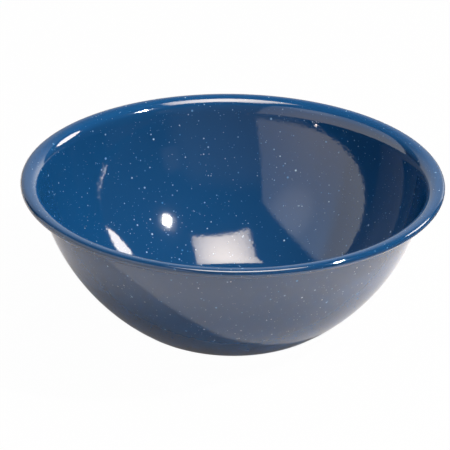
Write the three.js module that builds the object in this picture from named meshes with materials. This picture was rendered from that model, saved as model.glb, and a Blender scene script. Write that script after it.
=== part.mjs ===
// Enamelled steel mixing bowl: one deep-drawn steel shell with a flared lip and a rolled bead,
// fired with a dark ground coat and a blue cover coat on both of its faces.
// Millimetres, +Z up. The origin is on the floor, under the middle of the base.
import * as THREE from "three";

// Driving dimensions of the finished bowl, measured over the enamel
const RIM_DIAMETER = 197; // across the outside of the bead
const BOWL_HEIGHT = 73.5; // from the floor to the top of the rim
const BEAD_DIAMETER = 3.8; // the rolled edge, seen in section
const BASE_DIAMETER = 64; // outer edge of the flat ring that the bowl stands on
const STANDING_RING_WIDTH = 4;
const BASE_DISH = 1; // how far the middle of the base is pushed up, so that the bowl can't rock

// Bend radii of the shell, measured at the middle of the steel
const CORNER_RADIUS = 31; // between the base and the wall
const WALL_RADIUS = 103; // the belly of the bowl
const LIP_RADIUS = 15.5; // where the wall starts to turn outwards
const SHOULDER_RADIUS = 6; // where it turns over the top of the rim
const LIP_SLOPE = THREE.MathUtils.degToRad(65); // how steeply the lip climbs where the shoulder starts
const SHOULDER_SLOPE = THREE.MathUtils.degToRad(-8); // how far the shoulder falls again where the bead starts

// Thickness of the sheet and of the two coats of glass on each face
const STEEL_THICKNESS = 0.5;
const GROUND_COAT_THICKNESS = 0.1;
const COVER_COAT_THICKNESS = 0.2;
const CURL_GAP = 0.3; // left open between the rolled edge and the underside of the shoulder
const HAIRLINE = 0.004; // kept between one layer and the next, which are fused when they are fired

// Facets: flats around the bowl, and steps along each bend of its section
const FLATS_AROUND = 48;
const STEPS = { crown: 1, dish: 1, corner: 2, wall: 4, lip: 1, shoulder: 3, seam: 1, bead: 9 };

// Heights of the face and the back of each layer above the middle of the steel
const STEEL_FACE = STEEL_THICKNESS / 2;
const GROUND_FACE = STEEL_FACE + GROUND_COAT_THICKNESS;
const COVER_FACE = GROUND_FACE + COVER_COAT_THICKNESS;
const GROUND_BACK = STEEL_FACE + HAIRLINE;
const COVER_BACK = GROUND_FACE + HAIRLINE;

// A station is a point of the middle line with its heading: 0 runs outwards and a right angle runs up.
// The upper face lies to the left of the heading. It is the inside of the bowl and the outside of the bead.
function station(point, heading) {
  return { point, heading };
}

function upperNormal(heading) {
  return new THREE.Vector2(-Math.sin(heading), Math.cos(heading));
}

// An arc of stations that bends up, round a centre above the sheet, or down, round one below it.
function bend(centre, radius, from, to, steps) {
  const side = to > from ? -1 : 1;
  return Array.from({ length: steps + 1 }, (_, i) => {
    const heading = THREE.MathUtils.lerp(from, to, i / steps);
    return station(upperNormal(heading).multiplyScalar(side * radius).add(centre), heading);
  });
}

// The point at given distances from two centres, on the left of the line from the first to the second.
function compassPoint(first, firstDistance, second, secondDistance) {
  const line = second.clone().sub(first);
  const span = line.length();
  const along = (span ** 2 + firstDistance ** 2 - secondDistance ** 2) / (2 * span);
  const across = Math.sqrt(firstDistance ** 2 - along ** 2);
  const unit = line.divideScalar(span);
  return first.clone().addScaledVector(unit, along).add(new THREE.Vector2(-unit.y, unit.x).multiplyScalar(across));
}

// The heading of a sheet that bends up round a centre, at the point towards a target.
function headingTowards(centre, target) {
  return Math.atan2(target.x - centre.x, centre.y - target.y);
}

// Base: a shallow dish of two equal bends inside the standing ring
const sheetBottom = COVER_FACE;
const ringOuter = BASE_DIAMETER / 2;
const ringInner = ringOuter - STANDING_RING_WIDTH;
const dishSlope = 2 * Math.atan2(BASE_DISH, ringInner);
const dishRadius = ringInner / (2 * Math.sin(dishSlope));
const crownCentre = new THREE.Vector2(0, sheetBottom + BASE_DISH - dishRadius);
const dishCentre = new THREE.Vector2(ringInner, sheetBottom + dishRadius);

// Rim: the lip, the shoulder and the bead are ever tighter arcs, and each touches the next one from inside
const beadOuterRadius = BEAD_DIAMETER / 2;
const beadRadius = beadOuterRadius - COVER_FACE;
const shoulderToBead = SHOULDER_RADIUS - beadRadius;
const shoulderCentre = new THREE.Vector2(
  RIM_DIAMETER / 2 - beadOuterRadius - shoulderToBead * upperNormal(SHOULDER_SLOPE).x,
  BOWL_HEIGHT - COVER_FACE - SHOULDER_RADIUS,
);
const beadCentre = shoulderCentre.clone().addScaledVector(upperNormal(SHOULDER_SLOPE), shoulderToBead);
const lipCentre = shoulderCentre.clone().addScaledVector(upperNormal(LIP_SLOPE), SHOULDER_RADIUS - LIP_RADIUS);

// Wall: one arc that touches the corner's arc and the lip's
const cornerCentre = new THREE.Vector2(ringOuter, sheetBottom + CORNER_RADIUS);
const wallCentre = compassPoint(
  cornerCentre,
  WALL_RADIUS - CORNER_RADIUS,
  lipCentre,
  WALL_RADIUS + LIP_RADIUS,
);
const wallFoot = headingTowards(wallCentre, cornerCentre);
const wallTop = headingTowards(wallCentre, lipCentre);

// Curl: the bead rolls on until its outer coat is the curl gap away from the coat under the shoulder
const gapRadius = SHOULDER_RADIUS - COVER_FACE - CURL_GAP;
const curlOpening = Math.acos(
  (gapRadius ** 2 - shoulderToBead ** 2 - beadOuterRadius ** 2) / (2 * shoulderToBead * beadOuterRadius),
);
const curlEnd = SHOULDER_SLOPE + curlOpening - 2 * Math.PI;
const seamHeading = SHOULDER_SLOPE + Math.asin((beadOuterRadius * Math.sin(curlOpening)) / gapRadius);

// The bends of the section, from the axis out to the rolled edge
const crownBend = bend(crownCentre, dishRadius, 0, -dishSlope, STEPS.crown);
const dishBend = bend(dishCentre, dishRadius, -dishSlope, 0, STEPS.dish);
const cornerBend = bend(cornerCentre, CORNER_RADIUS, 0, wallFoot, STEPS.corner);
const standingRing = [dishBend.at(-1), cornerBend[0]];
const wallBend = bend(wallCentre, WALL_RADIUS, wallFoot, wallTop, STEPS.wall);
const lipBend = bend(lipCentre, LIP_RADIUS, wallTop, LIP_SLOPE, STEPS.lip);
const shoulderBend = bend(shoulderCentre, SHOULDER_RADIUS, LIP_SLOPE, seamHeading, STEPS.shoulder);
const seamBend = bend(shoulderCentre, SHOULDER_RADIUS, seamHeading, SHOULDER_SLOPE, STEPS.seam);
const beadBend = bend(beadCentre, beadRadius, SHOULDER_SLOPE, curlEnd, STEPS.bead);

// Each stretch starts at the last station of the one before, which is kept once.
function joined(...stretches) {
  return stretches.flatMap((stations, i) => (i ? stations.slice(1) : stations));
}

// The coats outside stop at the seam, where the rolled edge faces the shoulder. The others follow the whole sheet.
const bowlStations = joined(crownBend, dishBend, standingRing, cornerBend, wallBend, lipBend, shoulderBend);
const sheetStations = joined(bowlStations, seamBend, beadBend);

// A layer of the bowl between two heights over the middle line, turned round the axis
function face(stations, height) {
  return stations.map(({ point, heading }) => point.clone().addScaledVector(upperNormal(heading), height));
}

function layer(name, stations, lower, upper, finish) {
  const outline = [...face(stations, lower), ...face(stations, upper).reverse()];
  const geometry = new THREE.LatheGeometry(outline, FLATS_AROUND).rotateX(Math.PI / 2);
  const mesh = new THREE.Mesh(geometry, new THREE.MeshStandardMaterial(finish));
  mesh.name = name;
  return mesh;
}

const steel = { color: 0x8b8f94, roughness: 0.4, metalness: 0.9 };
const groundGlass = { color: 0x14171f, roughness: 0.3, metalness: 0 };
const blueGlass = { color: 0x14497a, roughness: 0.08, metalness: 0 };

const bowl = new THREE.Group();
bowl.add(
  layer("steel_shell", sheetStations, -STEEL_FACE, STEEL_FACE, steel),
  layer("ground_coat_inside", sheetStations, GROUND_BACK, GROUND_FACE, groundGlass),
  layer("ground_coat_outside", bowlStations, -GROUND_FACE, -GROUND_BACK, groundGlass),
  layer("blue_enamel_inside", sheetStations, COVER_BACK, COVER_FACE, blueGlass),
  layer("blue_enamel_outside", bowlStations, -COVER_FACE, -COVER_BACK, blueGlass),
);

export default bowl;
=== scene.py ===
# %% [markdown]
# # A speckled enamel mixing bowl
# The real bowl is one sheet of steel, pressed deep, with its edge rolled into a bead. It is dipped twice in
# powdered glass and fired: first a dark ground coat that grips the steel, then a blue coat with a few white
# drops in it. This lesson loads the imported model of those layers, turns each layer again as a finer mesh in
# the same place, and gives it its looks. Lengths are in metres, +Z is up, and the bowl stands on z = 0.

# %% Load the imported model
import math

import bmesh
import bpy
from mathutils import Matrix, Vector


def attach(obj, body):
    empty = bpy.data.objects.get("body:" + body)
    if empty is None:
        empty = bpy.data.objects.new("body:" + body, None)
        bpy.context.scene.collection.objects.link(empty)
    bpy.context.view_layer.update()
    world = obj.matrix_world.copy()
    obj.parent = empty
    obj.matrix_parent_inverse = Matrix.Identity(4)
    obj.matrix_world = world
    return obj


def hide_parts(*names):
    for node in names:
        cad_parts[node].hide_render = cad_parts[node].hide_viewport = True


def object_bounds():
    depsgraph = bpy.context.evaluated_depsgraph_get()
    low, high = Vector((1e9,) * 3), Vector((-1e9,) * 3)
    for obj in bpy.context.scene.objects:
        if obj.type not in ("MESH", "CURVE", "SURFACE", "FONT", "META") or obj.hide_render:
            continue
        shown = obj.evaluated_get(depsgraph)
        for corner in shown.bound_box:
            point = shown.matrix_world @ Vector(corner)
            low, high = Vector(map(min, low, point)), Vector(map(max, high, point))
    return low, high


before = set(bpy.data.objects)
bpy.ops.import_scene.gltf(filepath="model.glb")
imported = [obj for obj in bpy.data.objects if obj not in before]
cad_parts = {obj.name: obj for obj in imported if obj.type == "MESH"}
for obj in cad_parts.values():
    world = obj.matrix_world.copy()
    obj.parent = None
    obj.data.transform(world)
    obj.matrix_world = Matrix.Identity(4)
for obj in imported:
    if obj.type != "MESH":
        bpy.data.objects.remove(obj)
cad_low, cad_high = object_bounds()
MILLIMETRE = 0.001
print("layers:", sorted(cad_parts))
print("bowl is", [round(side / MILLIMETRE, 1) for side in cad_high - cad_low], "mm")

# %% [markdown]
# ## The section of the sheet
# A pressed bowl is drawn as a section: the line that the middle of the steel follows from the axis out to
# the rolled edge. It could be a long list of points, but bent sheet runs in stretches that are close to
# arcs, so a few radii and slopes say it better and are easier to change. The rim and the height are read
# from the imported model, and the other sizes are the ones that the model was made from.

# %% Sizes of the bowl
RIM_RADIUS = (cad_high.x - cad_low.x) / 2
BOWL_HEIGHT = cad_high.z
BEAD_RADIUS = 1.9 * MILLIMETRE  # the rolled edge, over the glass
BASE_RADIUS = 32 * MILLIMETRE  # outer edge of the flat ring that the bowl stands on
STANDING_RING_WIDTH = 4 * MILLIMETRE
BASE_DISH = 1 * MILLIMETRE  # the middle of the base is pushed up this far
CORNER_BEND = 31 * MILLIMETRE
WALL_BEND = 103 * MILLIMETRE
LIP_BEND = 15.5 * MILLIMETRE
SHOULDER_BEND = 6 * MILLIMETRE  # over the top of the rim
LIP_SLOPE = math.radians(65)  # how steeply the lip climbs where the shoulder starts
SHOULDER_SLOPE = math.radians(-8)  # how far the shoulder falls again where the bead starts
STEEL_FACE = 0.25 * MILLIMETRE  # heights of the faces of the layers over the middle of the steel
GROUND_FACE = 0.35 * MILLIMETRE
COVER_FACE = 0.55 * MILLIMETRE
HAIRLINE = 0.004 * MILLIMETRE  # between one layer and the next
CURL_GAP = 0.3 * MILLIMETRE  # between the rolled edge and the underside of the shoulder
print("rim radius and height", [round(size / MILLIMETRE, 2) for size in (RIM_RADIUS, BOWL_HEIGHT)], "mm")

# %% [markdown]
# ## Arcs by compass
# Two arcs meet without a corner when their centres and the point where they meet lie on one line. The foot
# and the rim of the bowl are placed by their sizes alone. The wall has to touch both, so its centre is where
# two circles cross, as with a compass on paper. A curve drawn by eye would be quicker, but the gloss would
# show every kink in it. The heading of the sheet is 0 where it runs outwards and a right angle where it runs
# up, and its upper face lies to the left of the heading.

# %% Centres at the foot
ring_inner = BASE_RADIUS - STANDING_RING_WIDTH
dish_slope = 2 * math.atan2(BASE_DISH, ring_inner)
dish_bend = ring_inner / (2 * math.sin(dish_slope))
crown_centre = Vector((0, COVER_FACE + BASE_DISH - dish_bend))
dish_centre = Vector((ring_inner, COVER_FACE + dish_bend))
corner_centre = Vector((BASE_RADIUS, COVER_FACE + CORNER_BEND))
print("the dished base bends at", round(dish_bend / MILLIMETRE), "mm")


# %% Centres at the rim
def upper_normal(heading):
    return Vector((-math.sin(heading), math.cos(heading)))


bead_bend = BEAD_RADIUS - COVER_FACE
shoulder_to_bead = SHOULDER_BEND - bead_bend
fall = shoulder_to_bead * upper_normal(SHOULDER_SLOPE)
shoulder_centre = Vector((RIM_RADIUS - BEAD_RADIUS - fall.x, BOWL_HEIGHT - COVER_FACE - SHOULDER_BEND))
bead_centre = shoulder_centre + fall
lip_centre = shoulder_centre - (LIP_BEND - SHOULDER_BEND) * upper_normal(LIP_SLOPE)
print("the middle of the bead is", round(bead_centre.y / MILLIMETRE, 2), "mm over the table")


# %% Centre of the wall
def compass_point(first, first_distance, second, second_distance):
    line = second - first
    along_line = (line.length_squared + first_distance**2 - second_distance**2) / (2 * line.length)
    across_line = math.sqrt(first_distance**2 - along_line**2)
    unit = line.normalized()
    return first + along_line * unit + across_line * Vector((-unit.y, unit.x))


def heading_towards(centre, target):
    return math.atan2(target.x - centre.x, centre.y - target.y)


wall_centre = compass_point(corner_centre, WALL_BEND - CORNER_BEND, lip_centre, WALL_BEND + LIP_BEND)
wall_foot = heading_towards(wall_centre, corner_centre)
wall_top = heading_towards(wall_centre, lip_centre)
print("wall turns through", round(math.degrees(wall_top - wall_foot), 1), "degrees")

# %% [markdown]
# ## The rolled edge
# The sheet is rolled outwards and under until its edge nearly meets the shoulder again, which makes the rim
# stiff and safe to hold. A closed ring would be simpler to draw, but a real rolled edge stops short. The gap
# that it leaves is known, so the law of cosines gives how far the bead turns, and where on the shoulder the
# seam lies that faces its end.

# %% Where the rolled edge stops
gap_bend = SHOULDER_BEND - COVER_FACE - CURL_GAP
curl_cosine = (gap_bend**2 - shoulder_to_bead**2 - BEAD_RADIUS**2) / (2 * shoulder_to_bead * BEAD_RADIUS)
curl_opening = math.acos(curl_cosine)
curl_end = SHOULDER_SLOPE + curl_opening - math.tau
seam_heading = SHOULDER_SLOPE + math.asin(BEAD_RADIUS * math.sin(curl_opening) / gap_bend)
print("bead rolls through", round(math.degrees(SHOULDER_SLOPE - curl_end)), "degrees")

# %% [markdown]
# ## One line from the axis to the rolled edge
# A station is a point of the section with its heading. Each arc becomes a stretch of stations, and the
# stretches are joined into one list. Even steps would do for a dull bowl. A glossy one shows where the wall
# turns over into the lip, so the stations crowd together on both sides of that place. The coats on the
# outside stop at the seam, and the steel and the coats on the inside follow the whole sheet.

# %% Stretches of the section
DISH_STEPS = 5
CORNER_STEPS = 10
WALL_STEPS = 26
LIP_STEPS = 8
SHOULDER_STEPS = 12
SEAM_STEPS = 4
BEAD_STEPS = 28
CROWD_AT_START = -1
CROWD_AT_END = 1


def bend(centre, radius, start, end, steps, crowd=0):
    side = -1 if end > start else 1
    shares = [i / steps + crowd * i / steps * (1 - i / steps) for i in range(steps + 1)]
    headings = [start + (end - start) * share for share in shares]
    return [(centre + side * radius * upper_normal(heading), heading) for heading in headings]


crown_line = bend(crown_centre, dish_bend, 0, -dish_slope, DISH_STEPS)
dish_line = bend(dish_centre, dish_bend, -dish_slope, 0, DISH_STEPS)
corner_line = bend(corner_centre, CORNER_BEND, 0, wall_foot, CORNER_STEPS)
ring_line = [dish_line[-1], corner_line[0]]
wall_line = bend(wall_centre, WALL_BEND, wall_foot, wall_top, WALL_STEPS, CROWD_AT_END)
lip_line = bend(lip_centre, LIP_BEND, wall_top, LIP_SLOPE, LIP_STEPS, CROWD_AT_START)
shoulder_line = bend(shoulder_centre, SHOULDER_BEND, LIP_SLOPE, seam_heading, SHOULDER_STEPS)
seam_line = bend(shoulder_centre, SHOULDER_BEND, seam_heading, SHOULDER_SLOPE, SEAM_STEPS)
bead_line = bend(bead_centre, bead_bend, SHOULDER_SLOPE, curl_end, BEAD_STEPS)
print("the wall ends", round(wall_line[-1][0].x / MILLIMETRE, 1), "mm from the axis")


# %% Join the stretches
def joined(*stretches):
    line = list(stretches[0])
    for stretch in stretches[1:]:
        line.extend(stretch[1:])
    return line


body_line = joined(crown_line, dish_line, ring_line, corner_line, wall_line, lip_line, shoulder_line)
sheet_line = joined(body_line, seam_line, bead_line)
print(len(body_line), "stations outside,", len(sheet_line), "along the whole sheet")

# %% [markdown]
# ## The steel, turned from its section
# The steel is a band between two heights over the section, turned round the axis. The Screw modifier could
# turn it. Spinning the outline in bmesh gives even rings straight away, with no modifier to apply, so that
# reflections run smoothly round the bowl. Each layer rides on the one body of the imported model and stands
# in for the imported layer of its name.

# %% Outline of a layer
SWELL_STATIONS = 4  # a swelling of the lower face grows over this many steps, up to the line's end


def face_line(line, height, swell=0):
    points = []
    for i, (point, heading) in enumerate(line):
        near_end = max(0, i - (len(line) - 1 - SWELL_STATIONS)) / SWELL_STATIONS
        points.append(point + (height - swell * near_end**2) * upper_normal(heading))
    return points


def layer_outline(line, lower, upper, swell=0):
    return face_line(line, lower, swell) + face_line(line, upper)[::-1]


steel_outline = layer_outline(sheet_line, -STEEL_FACE, STEEL_FACE)
print("the steel's outline has", len(steel_outline), "points")

# %% Spin the steel
FLATS_AROUND = 128
SAME_POINT = 0.001 * MILLIMETRE
SHARP_ANGLE = math.radians(50)


def put_in_scene(name, data):
    thing = bpy.data.objects.new(name, data)
    bpy.context.scene.collection.objects.link(thing)
    return thing


def spun_mesh(name, outline):
    spun = bmesh.new()
    points = [spun.verts.new((point.x, 0, point.y)) for point in outline]
    edges = [spun.edges.new(pair) for pair in zip(points, points[1:])]
    bmesh.ops.spin(
        spun,
        geom=points + edges,
        cent=(0, 0, 0),
        axis=(0, 0, 1),
        angle=math.tau,
        steps=FLATS_AROUND,
        use_merge=True,
    )
    bmesh.ops.remove_doubles(spun, verts=spun.verts, dist=SAME_POINT)
    bmesh.ops.recalc_face_normals(spun, faces=spun.faces)
    mesh = bpy.data.meshes.new(name)
    spun.to_mesh(mesh)
    spun.free()
    mesh.polygons.foreach_set("use_smooth", [True] * len(mesh.polygons))
    mesh.set_sharp_from_angle(angle=SHARP_ANGLE)
    return mesh


def turned_layer(node, outline):
    name = f"turned_{node}"
    layer = put_in_scene(name, spun_mesh(name, outline))
    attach(layer, "root")
    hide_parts(node)
    print(name, len(layer.data.polygons), "faces")
    return layer


steel_shell = turned_layer("steel_shell", steel_outline)

# %% [markdown]
# ## The coats of glass
# Each coat is a thinner band on one side of the steel, turned in the same way. A Solidify modifier could
# thicken a bare surface into a coat. An outline of its own keeps each coat's edge where it belongs: the
# inner coats go round the bead, and the outer ones stop at the seam under it. Blue glass gathers in that
# seam as it melts, so the outer blue coat swells there and closes it.

# %% Turn the four coats
SEAM_SWELL = CURL_GAP + 0.02 * MILLIMETRE  # a little more than the gap, so that no light gets through
ground_back = STEEL_FACE + HAIRLINE
cover_back = GROUND_FACE + HAIRLINE

ground_inside = turned_layer("ground_coat_inside", layer_outline(sheet_line, ground_back, GROUND_FACE))
ground_outside = turned_layer("ground_coat_outside", layer_outline(body_line, -GROUND_FACE, -ground_back))
blue_inside = turned_layer("blue_enamel_inside", layer_outline(sheet_line, cover_back, COVER_FACE))
blue_outline = layer_outline(body_line, -COVER_FACE, -cover_back, SEAM_SWELL)
blue_outside = turned_layer("blue_enamel_outside", blue_outline)

# %% [markdown]
# ## White drops in the blue
# A little white glass is scattered in the blue coat before it is fired. The drops are round, most of them
# under a millimetre, and the deeper ones look bluer. They could be thousands of small discs, but fired drops
# lie flush in the glass, so they belong in its colour. A Voronoi texture sets one point in each cell of
# space: where the surface passes within a drop's radius of the point, a disc shows. The recipe is a group of
# nodes with named inputs, because the ground coat uses it again for its bubbles.


# %% Sockets of the drops
def new_group(name, values, results):
    group = bpy.data.node_groups.new(name, "ShaderNodeTree")
    group.interface.new_socket("Position", in_out="INPUT", socket_type="NodeSocketVector")
    for label in values:
        group.interface.new_socket(label, in_out="INPUT", socket_type="NodeSocketFloat")
    for label in results:
        group.interface.new_socket(label, in_out="OUTPUT", socket_type="NodeSocketFloat")
    return group, group.nodes.new("NodeGroupInput").outputs, group.nodes.new("NodeGroupOutput").inputs


drops_group, given, made = new_group(
    "white drops",
    ["Cells per metre", "Smallest radius", "Largest radius", "Share kept"],
    ["Mask", "Whiteness"],
)
print("white drops takes", [socket.name for socket in given if socket.name])

# %% [markdown]
# ## Placing nodes
# A graph of nodes can be written out one call at a time, but its recipe is then hard to see. One helper
# places a node and fills it: a name in small letters is an option of the node, a name with a capital is a
# socket, and _0, _1 and so on are sockets by number. A socket takes a value, or a link from another node.


# %% A point in each cell
def place(tree, kind, **settings):
    node = tree.nodes.new(kind)
    for name, value in settings.items():
        if name[0].islower():
            setattr(node, name, value)
            continue
        socket = node.inputs[int(name[1:])] if name[0] == "_" else node.inputs[name.replace("_", " ")]
        if isinstance(value, bpy.types.NodeSocket):
            tree.links.new(value, socket)
        else:
            socket.default_value = value
    return node


cells = place(
    drops_group, "ShaderNodeTexVoronoi", Vector=given["Position"], Scale=given["Cells per metre"]
).outputs
chances = place(drops_group, "ShaderNodeSeparateColor", Color=cells["Color"]).outputs
print("each cell draws three chances:", [chance.name for chance in chances])

# %% Discs round the points
DROP_CORE = 0.4  # share of a drop's radius that is solid, with a soft edge outside it
DEPTH_CURVE = 1.5  # more drops lie deep than near the surface


def work_out(tree, operation, *values):
    sockets = {f"_{i}": value for i, value in enumerate(values)}
    return place(tree, "ShaderNodeMath", operation=operation, **sockets).outputs[0]


def spread(tree, value, lowest, highest):
    return place(tree, "ShaderNodeMapRange", Value=value, To_Min=lowest, To_Max=highest).outputs["Result"]


def ease(tree, value, start, full, most=1.0):
    eased = place(
        tree,
        "ShaderNodeMapRange",
        interpolation_type="SMOOTHSTEP",
        Value=value,
        From_Min=start,
        From_Max=full,
        To_Max=most,
    )
    return eased.outputs["Result"]


radius = spread(drops_group, chances["Red"], given["Smallest radius"], given["Largest radius"])
core = work_out(drops_group, "MULTIPLY", radius, DROP_CORE)
disc = ease(drops_group, cells["Distance"], radius, core)
kept = work_out(drops_group, "LESS_THAN", chances["Green"], given["Share kept"])
drops_group.links.new(work_out(drops_group, "MULTIPLY", disc, kept), made["Mask"])
drops_group.links.new(work_out(drops_group, "POWER", chances["Blue"], DEPTH_CURVE), made["Whiteness"])
print("white drops:", len(drops_group.nodes), "nodes")

# %% [markdown]
# ## The ripple of fired glass
# Melted glass never sets perfectly flat. It keeps a faint ripple, a few thousandths of a millimetre high,
# and a scatter of low pimples, which make the edges of reflections wander. The mesh could be displaced, but
# that would take millions of faces for a form that only the gloss shows. Three waves of noise and the
# pimples are added up as a height for a Bump node, in a group that both coats of glass use.

# %% Pimples
PIMPLES_PER_METRE = 380.0
PIMPLE_RADIUS = 1.0 * MILLIMETRE * PIMPLES_PER_METRE  # in cells

ripple_group, given, made = new_group(
    "fired ripple",
    ["Slow wave", "Middle wave", "Fine wave", "Pimples"],
    ["Height"],
)
grains = place(ripple_group, "ShaderNodeTexVoronoi", Vector=given["Position"], Scale=PIMPLES_PER_METRE)
pimple = ease(ripple_group, grains.outputs["Distance"], PIMPLE_RADIUS, 0.0)
height = work_out(ripple_group, "MULTIPLY", pimple, given["Pimples"])
print("pimples:", len(ripple_group.nodes), "nodes")

# %% Waves
WAVES_PER_METRE = {"Slow wave": 180.0, "Middle wave": 420.0, "Fine wave": 1200.0}
WAVE_DETAIL = 1.0


def noise(tree, position, per_metre, detail):
    return place(tree, "ShaderNodeTexNoise", Vector=position, Scale=per_metre, Detail=detail).outputs["Fac"]


for wave, per_metre in WAVES_PER_METRE.items():
    swing = noise(ripple_group, given["Position"], per_metre, WAVE_DETAIL)
    height = work_out(ripple_group, "MULTIPLY_ADD", swing, given[wave], height)
ripple_group.links.new(height, made["Height"])
print("fired ripple:", len(ripple_group.nodes), "nodes")

# %% [markdown]
# ## Blue enamel
# The blue coat is glass with pigment in it: a deep colour under a very smooth surface. It could be a clear
# glass shader with colour inside, but the coat is opaque, so an even colour under a sharp gloss looks the
# same and renders faster. The pigment drifts a little from place to place. The top of the rim is painted a
# paler blue, which is painted light for the light that the upturned roll catches. The white drops come in
# three sizes, and the small ones are the most common.

# %% Colour of the blue glass
DEEP_BLUE = (0.0055, 0.064, 0.185, 1)
THIN_BLUE = (0.0075, 0.076, 0.215, 1)
RIM_PAINTED_LIGHT_BLUE = (0.0085, 0.092, 0.262, 1)
RIM_LIGHT_STARTS = BOWL_HEIGHT - 4.0 * MILLIMETRE  # painted light: the rim is painted paler above this height
RIM_LIGHT_FULL = BOWL_HEIGHT - 1.0 * MILLIMETRE
BEAD_SIDE = RIM_RADIUS - 0.5 * MILLIMETRE  # and inside this distance from the axis
BEAD_TOP = RIM_RADIUS - 3.5 * MILLIMETRE
DRIFTS_PER_METRE = 28.0
DRIFT_DETAIL = 3.0
ON_PLAN = (1, 1, 0)  # leaves the height out of a position


def mix(tree, factor, first, second):
    return place(tree, "ShaderNodeMix", data_type="RGBA", Factor=factor, _6=first, _7=second).outputs[2]


def blue_glass(tree, position):
    height = place(tree, "ShaderNodeSeparateXYZ", Vector=position).outputs["Z"]
    plan = place(tree, "ShaderNodeVectorMath", operation="MULTIPLY", _0=position, _1=ON_PLAN)
    from_axis = place(tree, "ShaderNodeVectorMath", operation="LENGTH", _0=plan.outputs["Vector"])
    near_top = ease(tree, height, RIM_LIGHT_STARTS, RIM_LIGHT_FULL)
    off_side = ease(tree, from_axis.outputs["Value"], BEAD_SIDE, BEAD_TOP)
    drift = noise(tree, position, DRIFTS_PER_METRE, DRIFT_DETAIL)
    blue = mix(tree, drift, DEEP_BLUE, THIN_BLUE)
    # painted light: a paler blue over the top of the rim stands for the light that falls on it
    return mix(tree, work_out(tree, "MULTIPLY", near_top, off_side), blue, RIM_PAINTED_LIGHT_BLUE)


print("the paler rim starts", round((BOWL_HEIGHT - RIM_LIGHT_STARTS) / MILLIMETRE, 1), "mm under the top")

# %% Three sizes of drops
DEEP_DROP = (0.06, 0.28, 0.6, 1)
DROP_WHITE = (0.58, 0.8, 1.0, 1)
DROP_SIZES = (
    # cells per metre, smallest and largest radius in mm, share of the cells with a drop
    (700.0, 0.12, 0.24, 0.6),
    (420.0, 0.24, 0.44, 0.53),
    (210.0, 0.42, 0.78, 0.52),
)


def scatter(tree, position, colour, cells_per_metre, smallest, largest, share):
    drops = place(
        tree,
        "ShaderNodeGroup",
        node_tree=drops_group,
        Position=position,
        Cells_per_metre=cells_per_metre,
        Smallest_radius=smallest * MILLIMETRE * cells_per_metre,
        Largest_radius=largest * MILLIMETRE * cells_per_metre,
        Share_kept=share,
    ).outputs
    return mix(tree, drops["Mask"], colour, mix(tree, drops["Whiteness"], DEEP_DROP, DROP_WHITE))


print(len(DROP_SIZES), "sizes of drops, up to", 2 * DROP_SIZES[-1][2], "mm across")

# %% [markdown]
# ## The gloss of the glass
# Fired enamel is almost a mirror. A clear coat over the colour is one way to get that, but here the colour
# and the gloss are one glass, so the Principled shader's own reflection does it. Its index of refraction is
# high, as in glass that holds metal oxides. The roughness wanders a little, as a thin haze does, and the
# ripple bends the reflections. Inside and outside are two materials of one recipe.

# %% Haze and ripple on the glass
SMOOTHEST_GLASS = 0.04
ROUGHEST_GLASS = 0.065
HAZES_PER_METRE = 60.0
HAZE_DETAIL = 2.0
RIPPLE_DEPTH = 0.06 * MILLIMETRE
COAT_RIPPLE = {"Slow_wave": 0.12, "Middle_wave": 0.3, "Fine_wave": 0.03, "Pimples": 0.1}


def hazed(tree, position):
    haze = noise(tree, position, HAZES_PER_METRE, HAZE_DETAIL)
    return spread(tree, haze, SMOOTHEST_GLASS, ROUGHEST_GLASS)


def rippled(tree, position):
    ripple = place(tree, "ShaderNodeGroup", node_tree=ripple_group, Position=position, **COAT_RIPPLE)
    bump = place(tree, "ShaderNodeBump", Height=ripple.outputs["Height"], Distance=RIPPLE_DEPTH)
    return bump.outputs["Normal"]


print("roughness of the glass from", SMOOTHEST_GLASS, "to", ROUGHEST_GLASS)

# %% Material: blue enamel
GLASS_IOR = 1.8


def new_material(name):
    material = bpy.data.materials.new(name)
    material.use_nodes = True
    tree = material.node_tree
    tree.nodes.clear()
    return material, tree, place(tree, "ShaderNodeTexCoord").outputs["Object"]


def finish_with(tree, **sockets):
    surface = place(tree, "ShaderNodeBsdfPrincipled", **sockets)
    place(tree, "ShaderNodeOutputMaterial", Surface=surface.outputs["BSDF"])


def blue_enamel(name):
    material, tree, position = new_material(name)
    colour = blue_glass(tree, position)
    for size in DROP_SIZES:
        colour = scatter(tree, position, colour, *size)
    finish_with(
        tree,
        Base_Color=colour,
        Roughness=hazed(tree, position),
        IOR=GLASS_IOR,
        Normal=rippled(tree, position),
    )
    return material


for layer, name in ((blue_inside, "blue_enamel_inside"), (blue_outside, "blue_enamel_outside")):
    layer.data.materials.append(blue_enamel(name))
    print(name, len(layer.data.materials[0].node_tree.nodes), "nodes")

# %% [markdown]
# ## The ground coat
# The ground coat is almost black, from the metal oxides that make it grip the steel, and full of fine
# bubbles. It doesn't show on a whole bowl, so one dark colour might do, but a bowl that is cut open or
# chipped should be right underneath too. The group of white drops makes the bubbles, much finer and nearly
# as dark as the glass, and the ripple is the same as on the blue, because both coats are fired glass.

# %% Material: dark ground coat
GROUND_DARK = (0.006, 0.008, 0.013, 1)
GROUND_BUBBLE = (0.030, 0.036, 0.050, 1)
GROUND_ROUGHNESS = 0.22
BUBBLES_PER_METRE = 2200.0
SMALLEST_BUBBLE = 0.1  # radii in cells
LARGEST_BUBBLE = 0.35
BUBBLES_KEPT = 0.8

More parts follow.
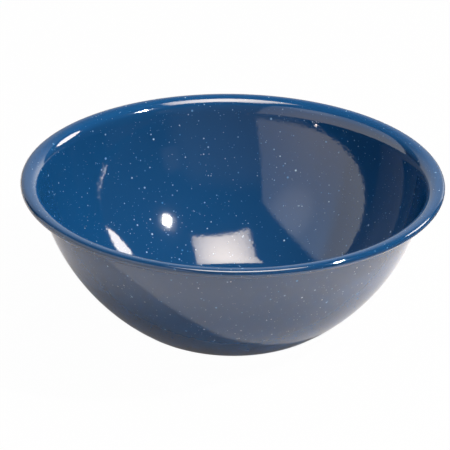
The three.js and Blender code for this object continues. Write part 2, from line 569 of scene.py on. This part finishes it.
ground_coat, tree, position = new_material("dark_ground_coat")
bubbles = place(
    tree,
    "ShaderNodeGroup",
    node_tree=drops_group,
    Position=position,
    Cells_per_metre=BUBBLES_PER_METRE,
    Smallest_radius=SMALLEST_BUBBLE,
    Largest_radius=LARGEST_BUBBLE,
    Share_kept=BUBBLES_KEPT,
)
colour = mix(tree, bubbles.outputs["Mask"], GROUND_DARK, GROUND_BUBBLE)
finish_with(tree, Base_Color=colour, Roughness=GROUND_ROUGHNESS, Normal=rippled(tree, position))
for layer in (ground_inside, ground_outside):
    layer.data.materials.append(ground_coat)
print("ground coat:", len(tree.nodes), "nodes")

# %% [markdown]
# ## The steel
# The sheet keeps faint lines from the press tool, drawn up the wall. An anisotropic gloss could stand for
# them, but lines that are seen close up are better drawn as lines: noise that is stretched along the height
# colours the steel, roughens it and lifts it a little. The steel is hidden on a whole bowl too.

# %% Material: drawn steel
STEEL_DARK = (0.22, 0.225, 0.24, 1)
STEEL_LIGHT = (0.33, 0.34, 0.36, 1)
SMOOTHEST_STEEL = 0.3
ROUGHEST_STEEL = 0.5
STEEL_METALLIC = 0.9
MARKS_PER_METRE = (900.0, 900.0, 40.0)  # close together across the wall, long up it
MARK_DETAIL = 3.0
MARK_DEPTH = 0.004 * MILLIMETRE

drawn_steel, tree, position = new_material("drawn_steel")
stretched = place(tree, "ShaderNodeMapping", Vector=position, Scale=MARKS_PER_METRE).outputs["Vector"]
marks = noise(tree, stretched, 1.0, MARK_DETAIL)  # the mapping has scaled the position already
finish_with(
    tree,
    Base_Color=mix(tree, marks, STEEL_DARK, STEEL_LIGHT),
    Metallic=STEEL_METALLIC,
    Roughness=spread(tree, marks, SMOOTHEST_STEEL, ROUGHEST_STEEL),
    Normal=place(tree, "ShaderNodeBump", Height=marks, Distance=MARK_DEPTH).outputs["Normal"],
)
steel_shell.data.materials.append(drawn_steel)
print("drawn steel:", len(tree.nodes), "nodes")

# %% [markdown]
# ## The table
# The bowl stands on a white table, which takes its shadow and is mirrored in its lower wall. A disc with
# white paint would do for the shadow alone. In a print, though, such a table is lifted almost to white, so
# the camera sees it that way, without more light on the bowl. In the gloss it is lifted less, by a glow that
# is painted light: least beside the foot, where it leaves a painted shadow, more where the table is open,
# and more again on the side of the key lamp, as a painted pool of light. Past a line on the right it is a
# dim painted glow.

# %% Table top
TABLE_RADIUS = 12.0
TABLE_SIDES = 96

table_mesh = bpy.data.meshes.new("white_table")
top = bmesh.new()
bmesh.ops.create_circle(top, cap_ends=True, segments=TABLE_SIDES, radius=TABLE_RADIUS)
top.to_mesh(table_mesh)
top.free()
table = put_in_scene("white_table", table_mesh)
print("table", TABLE_RADIUS * 2, "m across")

# %% Painted glow of the table in the gloss
# painted light: the table glows in the gloss; beside the foot only this first glow is added, a painted shadow
GLOW_IN_PAINTED_SHADOW = 0.13
GLOW_PAST_PAINTED_SHADOW = 0.37  # added past the painted shadow beside the foot
PAINTED_SHADOW_FADES = 65 * MILLIMETRE  # from the bowl's axis
PAINTED_SHADOW_ENDS = 118 * MILLIMETRE
PAINTED_KEY_LIGHT_GLOW = 0.22  # painted light, added on the side of the key lamp
PAINTED_KEY_LIGHT_STARTS = 20 * MILLIMETRE  # to the right of the axis
PAINTED_KEY_LIGHT_FULL = 100 * MILLIMETRE
# past this line on the right the table shows a dim painted glow in the gloss
DIM_STARTS = 140 * MILLIMETRE  # to the right of the axis
DIM_FULL = 180 * MILLIMETRE

table_paint, tree, position = new_material("white_table_paint")
table_mesh.materials.append(table_paint)
paths = place(tree, "ShaderNodeLightPath").outputs
mirrored = work_out(tree, "MAXIMUM", paths["Is Glossy Ray"], paths["Is Transmission Ray"])
from_bowl = place(tree, "ShaderNodeVectorMath", operation="LENGTH", _0=position).outputs["Value"]
to_right = place(tree, "ShaderNodeSeparateXYZ", Vector=position).outputs["X"]
outer_painted_glow = ease(tree, from_bowl, PAINTED_SHADOW_FADES, PAINTED_SHADOW_ENDS, GLOW_PAST_PAINTED_SHADOW)
key_side_painted_glow = ease(tree, to_right, PAINTED_KEY_LIGHT_STARTS, PAINTED_KEY_LIGHT_FULL, PAINTED_KEY_LIGHT_GLOW)
# painted glow: a painted shadow beside the foot, and painted light on the key lamp's side
lift = work_out(tree, "ADD", work_out(tree, "ADD", outer_painted_glow, key_side_painted_glow), GLOW_IN_PAINTED_SHADOW)
painted_glow_in_gloss = work_out(tree, "MULTIPLY", mirrored, lift)
dimmed = work_out(tree, "MULTIPLY", mirrored, ease(tree, to_right, DIM_STARTS, DIM_FULL))
print("lift of the table:", len(tree.nodes), "nodes")

# %% Paint of the table
PRINT_WHITE = (1, 1, 1, 1)
TABLE_WHITE = (0.77, 0.735, 0.72, 1)
TABLE_GLOW = (1, 0.94, 0.92, 1)
DIM_GLOW = 0.25
CAMERA_LIFT = 0.985  # share of plain white in what the camera sees

paint = place(tree, "ShaderNodeBsdfDiffuse", Color=TABLE_WHITE).outputs["BSDF"]
glow = place(tree, "ShaderNodeEmission", Color=TABLE_GLOW, Strength=painted_glow_in_gloss).outputs["Emission"]
lit_top = place(tree, "ShaderNodeAddShader", _0=paint, _1=glow).outputs["Shader"]
dim_top = place(tree, "ShaderNodeEmission", Color=TABLE_GLOW, Strength=DIM_GLOW).outputs["Emission"]
top_in_gloss = place(tree, "ShaderNodeMixShader", _0=dimmed, _1=lit_top, _2=dim_top).outputs["Shader"]
white = place(tree, "ShaderNodeEmission", Color=PRINT_WHITE, Strength=1.0).outputs["Emission"]
lifted = work_out(tree, "MULTIPLY", paths["Is Camera Ray"], CAMERA_LIFT)
seen = place(tree, "ShaderNodeMixShader", _0=lifted, _1=top_in_gloss, _2=white).outputs["Shader"]
place(tree, "ShaderNodeOutputMaterial", Surface=seen)
print("table paint:", len(tree.nodes), "nodes")

# %% [markdown]
# ## The room
# Glossy glass shows the room around it, so the room is part of the finish. It is dark, with a white wall and
# a few boards. They could be modelled and lit, but a world that is painted by direction is quicker to
# render, and what the gloss shows can differ there from the light that falls on the bowl. The camera sees
# plain white past the table.

# %% A dark room
ROOM_DARK = 0.05

world = bpy.data.worlds.new("studio")
bpy.context.scene.world = world
world.use_nodes = True
room = world.node_tree
room.nodes.clear()
gaze = place(room, "ShaderNodeTexCoord").outputs["Generated"]
upward = place(room, "ShaderNodeSeparateXYZ", Vector=gaze).outputs["Z"]
room_paths = place(room, "ShaderNodeLightPath").outputs
print("the dark room glows at", ROOM_DARK)

# %% [markdown]
# ## The wall behind the bowl
# A white wall stands behind the bowl. It is bright at its foot, fades upwards, and is brightest at its lower
# right corner. A gradient alone can't have corners, so the wall is a board whose tone is a ramp over the
# height plus a smaller, softer board. A board is flat, so from the bowl each of its edges is a straight
# line: a plane through the bowl and two corners. A corner is a compass bearing and a height in degrees,
# where bearing 0 is behind the bowl and 90 is to its right.

# %% Lit corner of the wall
SHARP = 1.5  # degrees over which an edge blurs, to each side
LIT_CORNERS = ((22, -25), (22, 16), (60, 16), (60, -25))
LIT_BLURS = (15.0, 9.0, SHARP, SHARP)  # from each corner to the next
LIT_GLOW = 1.0


def looking(bearing, height):
    bearing, height = math.radians(bearing), math.radians(height)
    across = math.cos(height)
    return Vector((across * math.sin(bearing), across * math.cos(bearing), math.sin(height)))


def along(direction):
    dot = place(room, "ShaderNodeVectorMath", operation="DOT_PRODUCT", _0=gaze, _1=direction)
    return dot.outputs["Value"]


def past(plane, blur):
    reach = math.sin(math.radians(blur))
    return ease(room, along(plane), -reach, reach)


def board(strength, corners, blurs):
    ends = [looking(*corner) for corner in corners]
    middle = sum(ends, Vector())
    covered = strength
    for first, second, blur in zip(ends, ends[1:] + ends[:1], blurs):
        plane = first.cross(second).normalized()
        inward = plane if plane.dot(middle) > 0 else -plane
        covered = work_out(room, "MULTIPLY", past(inward, blur), covered)
    return covered


lit_corner = board(LIT_GLOW, LIT_CORNERS, LIT_BLURS)
print("lit corner:", len(room.nodes), "nodes so far")

# %% Wall
SOFT = 4.0
WALL_CORNERS = ((-42, -25), (-42, 60), (39, 60), (39, -25))
WALL_BLURS = (SHARP, SOFT, SHARP, SHARP)
WALL_TONES = (
    # sine of the height, tone
    (0.0, 0.68),
    (0.25, 0.6),
    (0.42, 0.54),
    (0.5, 0.42),
    (0.56, 0.27),
    (0.64, 0.16),
    (0.82, 0.06),
)

fade = place(room, "ShaderNodeValToRGB", Fac=upward)
tones = fade.color_ramp.elements
while len(tones) < len(WALL_TONES):
    tones.new(1.0)
for element, (sine, tone) in zip(tones, WALL_TONES):
    element.position = sine
    element.color = (tone, tone, tone, 1)
wall_tone = work_out(room, "ADD", fade.outputs["Color"], lit_corner)
wall = board(wall_tone, WALL_CORNERS, WALL_BLURS)
print("wall:", len(tones), "tones")

# %% [markdown]
# ## Boards to the left and in front
# A tall white board on the left shows as the large pale patch at the back right of the inside. It is
# brighter on its side near the wall and near its foot, and a lamp lights one place on it. A dim board and a
# small card stand in front of the bowl. A board that is as bright for the light as for the gloss would be
# the plain way, but it would make the shaded side of the bowl too bright, so the left one gives little
# light.

# %% Left board
LEFT_CORNERS = ((-167, 4.3), (-152.3, 48.2), (-60, 36.7), (-60, -1))
LEFT_BLURS = (SHARP, SHARP, SHARP, SHARP)
LEFT_NEAR_WALL = (-57, 0)  # the way towards the brighter side
LEFT_SIDE_BLUR = 22.0
LEFT_SIDE_GAIN = 0.35
LEFT_SIDE_LEAST = 0.65
LEFT_FOOT = 1.175
LEFT_FALL = -0.536  # from the foot up, for a sine of 1
LEFT_SPOT = (-123, 47, 18)  # bearing, height and radius of the place that a lamp lights
LEFT_SPOT_GLOW = 0.38
LEFT_LIGHT = 0.1  # its strength as a light


def spot(bearing, height, radius):
    return ease(room, along(looking(bearing, height)), math.cos(math.radians(radius)), 1.0)


near_wall = past(looking(*LEFT_NEAR_WALL), LEFT_SIDE_BLUR)
left_across = work_out(room, "MULTIPLY_ADD", near_wall, LEFT_SIDE_GAIN, LEFT_SIDE_LEAST)
left_down = work_out(room, "MULTIPLY_ADD", upward, LEFT_FALL, LEFT_FOOT)
left_spot = work_out(room, "MULTIPLY", spot(*LEFT_SPOT), LEFT_SPOT_GLOW)
left_tone = work_out(room, "MULTIPLY_ADD", left_across, left_down, left_spot)
left_gloss = work_out(room, "MULTIPLY", room_paths["Is Glossy Ray"], left_tone)
left_board = board(work_out(room, "MAXIMUM", left_gloss, LEFT_LIGHT), LEFT_CORNERS, LEFT_BLURS)
print("left board:", LEFT_FOOT, "at its foot in the gloss,", LEFT_LIGHT, "as a light")

# %% Front board, card and the whole room
HAZY = 12.0
FRONT_CORNERS = ((140, 0), (140, 35), (-140, 35), (-140, 0))
FRONT_BLURS = (HAZY, HAZY, HAZY, SHARP)
FRONT_GLOW = 0.17
CARD_CORNERS = ((132, 15), (132, 29), (146, 29), (146, 15))
CARD_BLURS = (SOFT, SOFT, SOFT, SOFT)
CARD_GLOW = 0.2
WARM_SPOT = (-147, 12, 62)  # bearing, height and radius of the warmer side of the room
WARM_WHITE = (1, 0.91, 0.84, 1)

front_board = board(FRONT_GLOW, FRONT_CORNERS, FRONT_BLURS)
card = board(CARD_GLOW, CARD_CORNERS, CARD_BLURS)
room_glow = ROOM_DARK
for lit in (wall, left_board, front_board, card, room_paths["Is Camera Ray"]):
    room_glow = work_out(room, "MAXIMUM", lit, room_glow)
warm_side = work_out(room, "MULTIPLY", room_paths["Is Glossy Ray"], spot(*WARM_SPOT))
room_colour = mix(room, warm_side, PRINT_WHITE, WARM_WHITE)
background = place(room, "ShaderNodeBackground", Color=room_colour, Strength=room_glow)
place(room, "ShaderNodeOutputWorld", Surface=background.outputs["Background"])
print("room:", len(room.nodes), "nodes")

# %% [markdown]
# ## The lamps
# Three lamps light the bowl. A small round key lamp high on the right throws the shadow, an umbrella stands
# far behind on the right, and a box of cloth hangs overhead. One area light for each would be the plain way,
# but then the light on the bowl and the white patch in its gloss can't be set apart. So each lamp is a pair
# in one place: the light, hidden from the gloss, and the face, which only the gloss shows. The size, glow
# and colour of both are given, and the glow is the lamp's power over its area and over pi.

# %% Where the key lamp stands
BOWL_MIDDLE = Vector((0, 0, BOWL_HEIGHT / 2))
KEY_AT = Vector((0.903, -0.336, 1.127))
KEY_TURN = math.radians(-7.3)


def stand(place_at, facing, turn=0.0):
    aim = facing.to_track_quat("-Z", "Y").to_matrix().to_4x4()
    return Matrix.Translation(place_at) @ aim @ Matrix.Rotation(turn, 4, "Z")


key_held = stand(KEY_AT, BOWL_MIDDLE - KEY_AT, KEY_TURN)
print("the key lamp is", round((KEY_AT - BOWL_MIDDLE).length, 2), "m from the bowl")

# %% Key lamp
FACE_AHEAD = 0.005
KEY_COLOUR = (1.0, 0.98, 0.95)
KEY_LIGHT = ((0.06, 0.06), 1880.0, KEY_COLOUR)  # size, glow and colour
KEY_FACE = ((0.12, 0.094), 1400.0, KEY_COLOUR)  # larger than the bulb, and a little oval


def lamp(name, shape, held, size, glow, colour):
    data = bpy.data.lights.new(name, "AREA")
    data.shape = shape
    data.size, data.size_y = size
    area = size[0] * size[1] * (math.pi / 4 if shape == "ELLIPSE" else 1)
    data.energy = glow * math.pi * area
    data.color = colour
    light = put_in_scene(name, data)
    light.matrix_world = held
    light.visible_camera = False
    print(name, round(data.energy, 2), "W")
    return light


def lamp_and_face(name, shape, held, light_look, face_look):
    light = lamp(f"{name}_light", shape, held, *light_look)
    light.visible_glossy = False
    face = lamp(f"{name}_face", shape, held @ Matrix.Translation((0, 0, -FACE_AHEAD)), *face_look)
    face.visible_diffuse = False
    return face


lamp_and_face("round_key", "ELLIPSE", key_held, KEY_LIGHT, KEY_FACE)

# %% Umbrella behind on the right
UMBRELLA_DISTANCE = 4.0
UMBRELLA_WAY = (59.1, 27.4)  # bearing and height in degrees
UMBRELLA_SIZE = (1.306, 1.306)
UMBRELLA_LIGHT = (UMBRELLA_SIZE, 2.2, (1, 0.98, 0.97))  # size, glow and colour
UMBRELLA_FACE = (UMBRELLA_SIZE, 9.3, (1, 0.92, 0.85))

umbrella_at = UMBRELLA_DISTANCE * looking(*UMBRELLA_WAY)
umbrella_held = stand(umbrella_at, BOWL_MIDDLE - umbrella_at)
lamp_and_face("umbrella", "ELLIPSE", umbrella_held, UMBRELLA_LIGHT, UMBRELLA_FACE)

# %% [markdown]
# ## The cloth box overhead
# The box is the large white patch in the bowl. Its cloth is lit by one bulb behind it, so it is brightest in
# the middle, dims towards its sides and ends in a soft hem. An even panel would be simpler, but its patch in
# the gloss looks flat. The face's own nodes dim it with the square of the distance from the middle, along
# each side in turn, and fade it out at the hem.

# %% Cloth box
BOX_AT = Vector((0.05, -0.028, 0.905))
BOX_FACING = Vector((-0.016, 0.349, -0.937))
BOX_TURN = math.radians(10)
BOX_SIZE = (0.549, 0.515)
BOX_LIGHT = (BOX_SIZE, 3.4, (1, 0.97, 0.94))  # size, glow and colour
BOX_FACE = (BOX_SIZE, 10.0, (1, 0.87, 0.73))

box_held = stand(BOX_AT, BOX_FACING, BOX_TURN)
box_face = lamp_and_face("overhead_box", "RECTANGLE", box_held, BOX_LIGHT, BOX_FACE)

# %% Glow of the cloth
CLOTH_FALLS = (0.68, 0.3)  # share of the glow that is lost at the ends of each side
HEM_STARTS = 0.87  # share of the way from the middle to the edge

box_face.data.use_nodes = True
cloth = box_face.data.node_tree
cloth.nodes.clear()
position = place(cloth, "ShaderNodeNewGeometry").outputs["Position"]
from_middle = place(cloth, "ShaderNodeVectorMath", operation="SUBTRACT", _0=position, _1=BOX_AT)
cloth_glow = 1.0
for side, length, loss in zip(box_held.to_3x3().col, BOX_SIZE, CLOTH_FALLS):
    sideways = place(
        cloth,
        "ShaderNodeVectorMath",
        operation="DOT_PRODUCT",
        _0=from_middle.outputs["Vector"],
        _1=side / (length / 2),
    ).outputs["Value"]
    dimmer = work_out(cloth, "MULTIPLY_ADD", work_out(cloth, "MULTIPLY", sideways, sideways), -loss, 1.0)
    inside_hem = ease(cloth, work_out(cloth, "ABSOLUTE", sideways), 1.0, HEM_STARTS)
    cloth_glow = work_out(cloth, "MULTIPLY", work_out(cloth, "MULTIPLY", dimmer, inside_hem), cloth_glow)
shine = place(cloth, "ShaderNodeEmission", Color=PRINT_WHITE, Strength=cloth_glow).outputs["Emission"]
place(cloth, "ShaderNodeOutputLight", Surface=shine)
print("cloth:", len(cloth.nodes), "nodes")

# %% [markdown]
# ## The camera
# The camera looks along +Y and down into the bowl, from far enough away for the rim to be nearly an even
# ellipse. A camera can be set by eye, but a lens that is worked out from the size of the picture fits at
# once. It is turned a little about its own axis, because the bowl leans by less than a degree in the
# picture.

# %% Camera
PICTURE_SIDE = 450  # pixels
FOCAL_PIXELS = 2520.8
SENSOR = 36.0  # in the lens's own millimetres
CAMERA_HEIGHT_ANGLE = math.radians(26.011)
CAMERA_ROLL = math.radians(0.805)
CAMERA_DISTANCE = 12 * RIM_RADIUS
LOOK_AT = Vector((-3.325, 0, 47.802)) * MILLIMETRE

camera_data = bpy.data.cameras.new("camera")
camera_data.sensor_width = SENSOR
camera_data.lens = SENSOR * FOCAL_PIXELS / PICTURE_SIDE
camera = put_in_scene("camera", camera_data)
back = Vector((0, -math.cos(CAMERA_HEIGHT_ANGLE), math.sin(CAMERA_HEIGHT_ANGLE)))
tilt = Matrix.Rotation(math.pi / 2 - CAMERA_HEIGHT_ANGLE, 4, "X")
roll = Matrix.Rotation(CAMERA_ROLL, 4, "Z")
camera.matrix_world = Matrix.Translation(LOOK_AT + CAMERA_DISTANCE * back) @ tilt @ roll
bpy.context.scene.camera = camera
bpy.context.scene.view_settings.view_transform = "Standard"
print("lens", round(camera_data.lens, 1), "mm")
